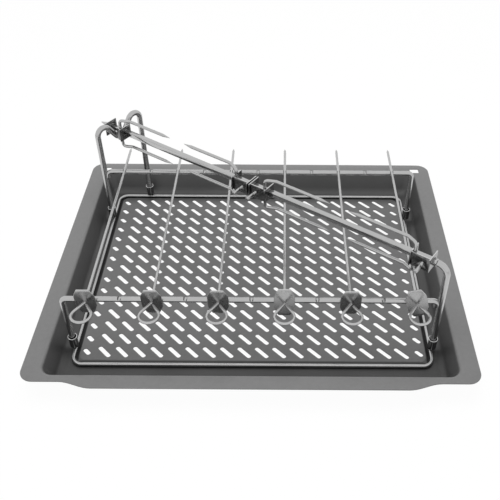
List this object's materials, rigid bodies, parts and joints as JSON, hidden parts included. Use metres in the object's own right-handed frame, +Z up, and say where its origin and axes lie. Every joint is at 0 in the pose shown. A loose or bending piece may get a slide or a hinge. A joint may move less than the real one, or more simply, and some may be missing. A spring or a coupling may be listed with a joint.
{
  "type": "air fry tray with skewer and spit rack",
  "caption": "Perforated enamelled oven tray with a lift-out wire rack that carries turning skewers on notched bars and a diagonal spit with sliding forks.",
  "frame": {"origin": "middle of the tray's plan, at the surface that it stands on", "axes": "+X to the right along the skewer bars, +Y to the back along the skewers, +Z up"},
  "size_m": [0.456, 0.3838, 0.1404],
  "materials": {
    "tray_enamel": "satin grey enamel",
    "wire_steel": "satin steel wire",
    "bar_steel": "satin steel rod",
    "spit_steel": "satin square steel bar",
    "hub_steel": "folded steel sheet",
    "skewer_steel": "drawn steel wire",
    "plate_steel": "pressed steel sheet"
  },
  "bodies": {
    "tray": {"tray": "tray_enamel"},
    "rack": {"base_loop": "wire_steel", "socket_front_left": "wire_steel", "socket_front_right": "wire_steel", "socket_rear_left": "wire_steel", "socket_rear_right": "wire_steel", "socket_spit_rear": "wire_steel"},
    "front_stand": {"front_skewer_bar": "bar_steel", "spit_support_right": "bar_steel"},
    "rear_stand": {"rear_skewer_bar": "bar_steel", "spit_support_left": "bar_steel"},
    "spit": {"spit": "spit_steel", "spit_stop_plate": "hub_steel"},
    "fork_1": {"fork_hub_1": "hub_steel", "fork_tines_1": "wire_steel"},
    "fork_2": {"fork_hub_2": "hub_steel", "fork_tines_2": "wire_steel"},
    "fork_3": {"fork_hub_3": "hub_steel", "fork_tines_3": "wire_steel"},
    "fork_4": {"fork_hub_4": "hub_steel", "fork_tines_4": "wire_steel"},
    "fork_2_screw": {"fork_screw_2": "hub_steel"},
    "fork_3_screw": {"fork_screw_3": "hub_steel"},
    "fork_4_screw": {"fork_screw_4": "hub_steel"},
    "skewer_1": {"skewer_rod_1": "skewer_steel", "skewer_plate_1": "plate_steel"},
    "skewer_2": {"skewer_rod_2": "skewer_steel", "skewer_plate_2": "plate_steel"},
    "skewer_3": {"skewer_rod_3": "skewer_steel", "skewer_plate_3": "plate_steel"},
    "skewer_4": {"skewer_rod_4": "skewer_steel", "skewer_plate_4": "plate_steel"},
    "skewer_5": {"skewer_rod_5": "skewer_steel", "skewer_plate_5": "plate_steel"},
    "skewer_6": {"skewer_rod_6": "skewer_steel", "skewer_plate_6": "plate_steel"}
  },
  "joints": [
    {"name": "rack_lift", "type": "slide", "parent": "tray", "child": "rack", "axis": [0, 0, 1], "range_m": [0, 0.05]},
    {"name": "rear_stand_lift", "type": "slide", "parent": "rack", "child": "rear_stand", "axis": [0, 0, 1], "range_m": [0, 0.03]},
    {"name": "front_stand_lift", "type": "slide", "parent": "rack", "child": "front_stand", "axis": [0, 0, 1], "range_m": [0, 0.03]},
    {"name": "spit_turn", "type": "hinge", "parent": "rear_stand", "child": "spit", "pos_m": [-0.1689, 0.12755, 0.121], "axis": [-0.8245, 0.5658, 0], "continuous": true},
    {"name": "fork_1_slide", "type": "slide", "parent": "spit", "child": "fork_1", "axis": [0.8245, -0.5658, 0], "range_m": [0, 0.01]},
    {"name": "fork_2_slide", "type": "slide", "parent": "spit", "child": "fork_2", "axis": [-0.8245, 0.5658, 0], "range_m": [0, 0.01]},
    {"name": "fork_3_slide", "type": "slide", "parent": "spit", "child": "fork_3", "axis": [0.8245, -0.5658, 0], "range_m": [0, 0.01]},
    {"name": "fork_4_slide", "type": "slide", "parent": "spit", "child": "fork_4", "axis": [-0.8245, 0.5658, 0], "range_m": [0, 0.01]},
    {"name": "fork_2_screw_turn", "type": "hinge", "parent": "fork_2", "child": "fork_2_screw", "pos_m": [-0.01384, 0.01083, 0.121], "axis": [-0.5658, -0.8245, 0], "range_deg": [0, 360]},
    {"name": "fork_3_screw_turn", "type": "hinge", "parent": "fork_3", "child": "fork_3_screw", "pos_m": [0.00092, 0.0007, 0.121], "axis": [-0.5658, -0.8245, 0], "range_deg": [0, 360]},
    {"name": "fork_4_screw_turn", "type": "hinge", "parent": "fork_4", "child": "fork_4_screw", "pos_m": [0.16553, -0.11225, 0.121], "axis": [-0.5658, -0.8245, 0], "range_deg": [0, 360]},
    {"name": "skewer_1_turn", "type": "hinge", "parent": "front_stand", "child": "skewer_1", "pos_m": [-0.16475, 0, 0.0776], "axis": [0, 1, 0], "continuous": true},
    {"name": "skewer_2_turn", "type": "hinge", "parent": "front_stand", "child": "skewer_2", "pos_m": [-0.09885, 0, 0.0776], "axis": [0, 1, 0], "continuous": true},
    {"name": "skewer_3_turn", "type": "hinge", "parent": "front_stand", "child": "skewer_3", "pos_m": [-0.03295, 0, 0.0776], "axis": [0, 1, 0], "continuous": true},
    {"name": "skewer_4_turn", "type": "hinge", "parent": "front_stand", "child": "skewer_4", "pos_m": [0.03295, 0, 0.0776], "axis": [0, 1, 0], "continuous": true},
    {"name": "skewer_5_turn", "type": "hinge", "parent": "front_stand", "child": "skewer_5", "pos_m": [0.09885, 0, 0.0776], "axis": [0, 1, 0], "continuous": true},
    {"name": "skewer_6_turn", "type": "hinge", "parent": "front_stand", "child": "skewer_6", "pos_m": [0.16475, 0, 0.0776], "axis": [0, 1, 0], "continuous": true}
  ],
  "couplings": [
    {"joint": "front_stand_lift", "follows": "rear_stand_lift", "ratio": 1}
  ]
}
